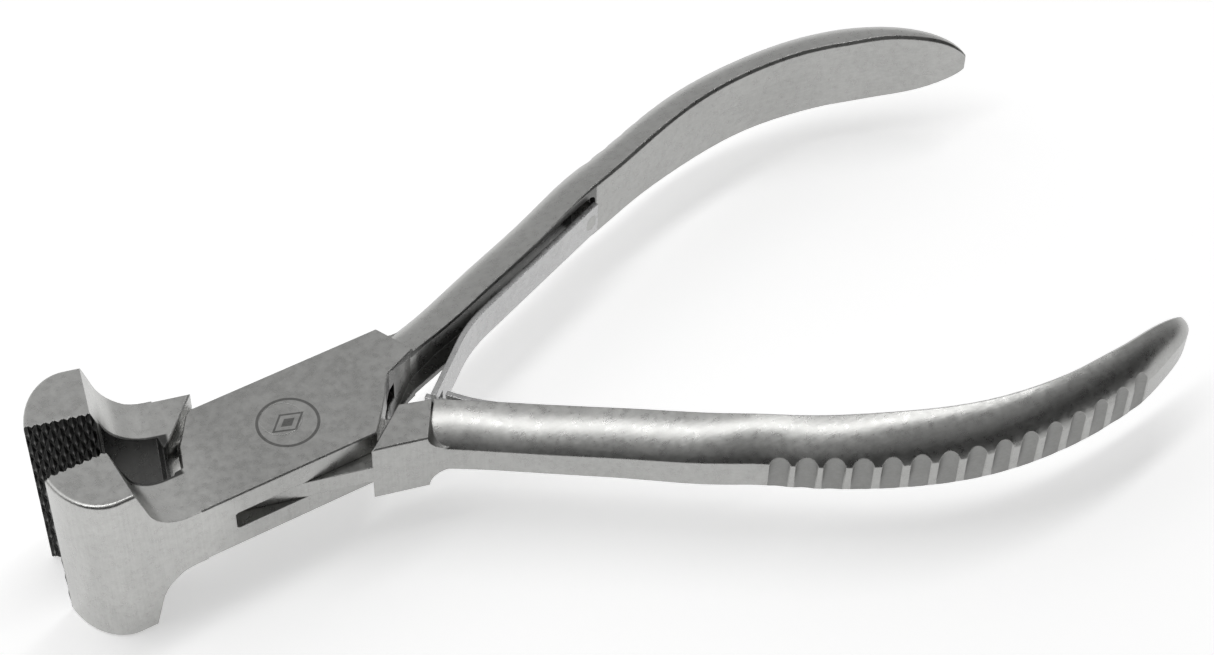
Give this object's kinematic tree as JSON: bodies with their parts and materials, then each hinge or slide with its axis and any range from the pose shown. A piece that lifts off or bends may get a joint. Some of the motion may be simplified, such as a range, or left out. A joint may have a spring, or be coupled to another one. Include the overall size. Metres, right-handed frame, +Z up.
{
  "type": "grozing pliers",
  "caption": "Box-joint nipping pliers with broad, cross-serrated half-round jaws and curved fluted handles, held open by crossed leaf springs, for nibbling glass edges.",
  "frame": {"origin": "on the pivot axis, at the flat underside of the box joint, with the pliers held open by their springs", "axes": "+X from the pivot towards the handles, midway between them; +Z up along the pivot axis; +Y towards the slotted half's handle"},
  "size_m": [0.1445, 0.0785, 0.0252],
  "materials": {
    "forged_steel": "satin, fine ground grain",
    "pin_steel": "ground flush",
    "spring_steel": "satin strip"
  },
  "bodies": {
    "slotted_half": {"slotted_half": "forged_steel", "pivot_pin": "pin_steel"},
    "tongue_half": {"tongue_half": "forged_steel"},
    "upper_leaf": {"upper_leaf_spring": "spring_steel", "upper_leaf_rivet": "pin_steel"},
    "lower_leaf": {"lower_leaf_spring": "spring_steel", "lower_leaf_rivet": "pin_steel"}
  },
  "joints": [
    {"name": "pivot", "type": "hinge", "parent": "slotted_half", "child": "tongue_half", "pos_m": [0, 0, 0.0046], "axis": [0, 0, 1], "range_deg": [-3, 15], "stiffness_Nm_per_rad": 3},
    {"name": "upper_leaf_flex", "type": "hinge", "parent": "slotted_half", "child": "upper_leaf", "pos_m": [0.04946, 0.0197, 0.0046], "axis": [0, 0, 1], "range_deg": [-4.8, 1.2]},
    {"name": "lower_leaf_flex", "type": "hinge", "parent": "tongue_half", "child": "lower_leaf", "pos_m": [0.04945, -0.01973, 0.0046], "axis": [0, 0, 1], "range_deg": [-1.2, 4.8]}
  ],
  "couplings": [
    {"joint": "upper_leaf_flex", "follows": "pivot", "ratio": -0.3},
    {"joint": "lower_leaf_flex", "follows": "pivot", "ratio": 0.3}
  ]
}
